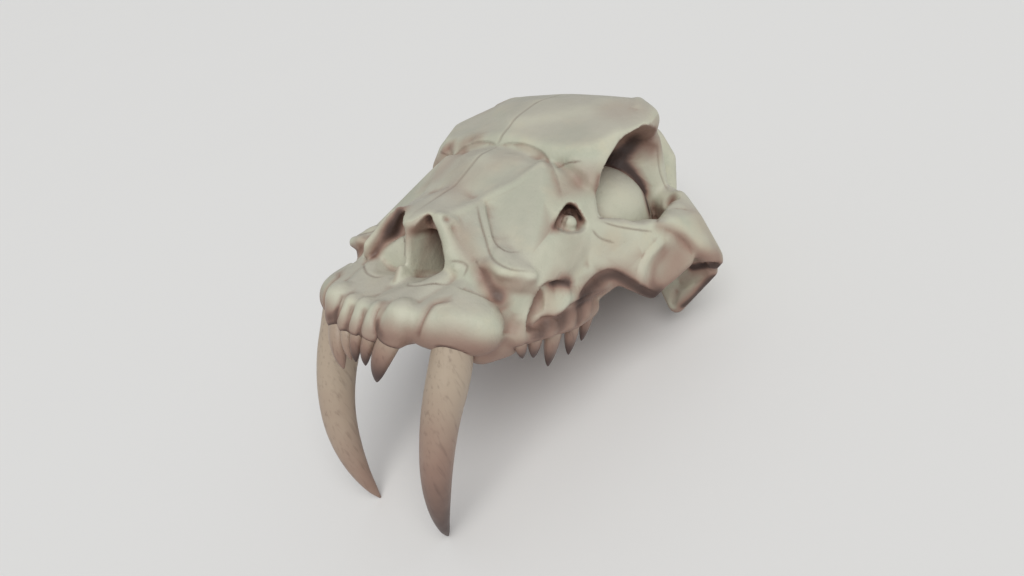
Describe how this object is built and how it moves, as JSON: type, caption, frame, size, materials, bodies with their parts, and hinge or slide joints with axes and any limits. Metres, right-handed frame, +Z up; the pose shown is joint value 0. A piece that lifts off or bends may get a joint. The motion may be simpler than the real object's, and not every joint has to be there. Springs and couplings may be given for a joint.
{
  "type": "smilodon skull",
  "caption": "Cranium of a sabre-toothed cat with long curved canines, small incisors and pointed cheek teeth, resting on its canine tips and the back of its base.",
  "frame": {"origin": "centre of the bounding box at the surface the skull rests on", "axes": "+X to the skull's own left, -Y the way the snout points, +Z up from the surface"},
  "size_m": [0.2686, 0.3712, 0.1851],
  "materials": {
    "bone": "satin fossil bone, pale greenish cream with brown hollows",
    "tooth": "satin brown fossil enamel"
  },
  "bodies": {
    "root": {"cranium": "bone", "canine_left": "tooth", "canine_right": "tooth", "incisor_centre": "tooth", "incisor_second_left": "tooth", "incisor_second_right": "tooth", "incisor_third_left": "tooth", "incisor_third_right": "tooth", "cheek_tooth_a_left": "tooth", "cheek_tooth_a_right": "tooth", "cheek_tooth_b_left": "tooth", "cheek_tooth_b_right": "tooth", "cheek_tooth_c_left": "tooth", "cheek_tooth_c_right": "tooth", "cheek_tooth_d_left": "tooth", "cheek_tooth_d_right": "tooth", "cheek_tooth_e_left": "tooth", "cheek_tooth_e_right": "tooth"}
  },
  "joints": []
}
